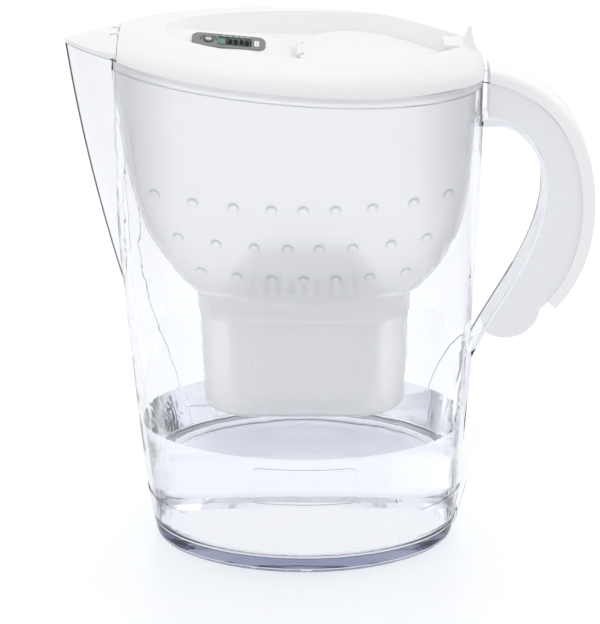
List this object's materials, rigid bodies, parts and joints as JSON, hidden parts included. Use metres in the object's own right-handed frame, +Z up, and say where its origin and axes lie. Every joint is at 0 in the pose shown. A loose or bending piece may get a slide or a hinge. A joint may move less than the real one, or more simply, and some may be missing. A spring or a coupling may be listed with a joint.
{
  "type": "water filter pitcher",
  "caption": "Clear water filter pitcher with a frosted funnel, a filter cartridge, a white lid with fill flap and change indicator, and a white grip.",
  "frame": {"origin": "middle of the flat underside of the jug, on the axis of its wall", "axes": "+Z up, -X towards the pouring spout, +X towards the handle, -Y towards the flank with the bare plate outline"},
  "size_m": [0.2806, 0.1436, 0.2893],
  "materials": {
    "clear_plastic": "clear polished plastic",
    "white_plastic": "white, satin gloss",
    "frosted_plastic": "frosted translucent",
    "cartridge_plastic": "light grey, fine satin",
    "mesh_fabric": "woven mesh",
    "filter_media": "packed granules",
    "dark_plastic": "satin black",
    "grey_plastic": "satin grey",
    "window_plastic": "clear lens",
    "lcd_glass": "grey-green display",
    "seal_rubber": "soft",
    "board_laminate": "solder-masked board",
    "spring_steel": "bright"
  },
  "bodies": {
    "jug_body": {"jug": "clear_plastic", "handle_grip": "white_plastic"},
    "funnel_body": {"funnel": "frosted_plastic"},
    "cartridge": {"cartridge_cup": "cartridge_plastic", "cartridge_cap": "cartridge_plastic", "cartridge_inlet_mesh": "mesh_fabric", "cartridge_outlet_mesh": "mesh_fabric", "cartridge_media": "filter_media"},
    "lid": {"lid_shell": "white_plastic"},
    "flap": {"fill_flap": "white_plastic"},
    "cover": {"spout_cover": "white_plastic"},
    "indicator": {"indicator_housing": "dark_plastic", "indicator_face": "grey_plastic", "indicator_window": "window_plastic", "lcd_panel": "lcd_glass", "contact_strip": "seal_rubber", "circuit_board": "board_laminate", "button_dome": "spring_steel", "coin_cell": "spring_steel", "cell_contact": "spring_steel", "indicator_seal": "seal_rubber", "indicator_back": "dark_plastic"},
    "button": {"start_button": "grey_plastic"}
  },
  "joints": [
    {"name": "funnel_lift", "type": "slide", "parent": "jug_body", "child": "funnel_body", "axis": [0, 0, 1], "range_m": [0, 0.21]},
    {"name": "cartridge_lift", "type": "slide", "parent": "funnel_body", "child": "cartridge", "axis": [0, 0, 1], "range_m": [0, 0.09]},
    {"name": "lid_lift", "type": "slide", "parent": "funnel_body", "child": "lid", "axis": [0, 0, 1], "range_m": [0, 0.06]},
    {"name": "flap_hinge", "type": "hinge", "parent": "lid", "child": "flap", "pos_m": [-0.0028, 0, 0.27589], "axis": [0, -1, 0], "range_deg": [0, 85]},
    {"name": "cover_hinge", "type": "hinge", "parent": "lid", "child": "cover", "pos_m": [-0.0992, 0, 0.28513], "axis": [0, 1, 0], "range_deg": [0, 60]},
    {"name": "indicator_lift", "type": "slide", "parent": "lid", "child": "indicator", "axis": [0.0881, -0.3007, 0.9496], "range_m": [0, 0.012]},
    {"name": "button_press", "type": "slide", "parent": "indicator", "child": "button", "axis": [-0.0881, 0.3007, -0.9496], "range_m": [0, 0.0006], "stiffness_N_per_m": 200, "springref_m": -0.0005}
  ]
}
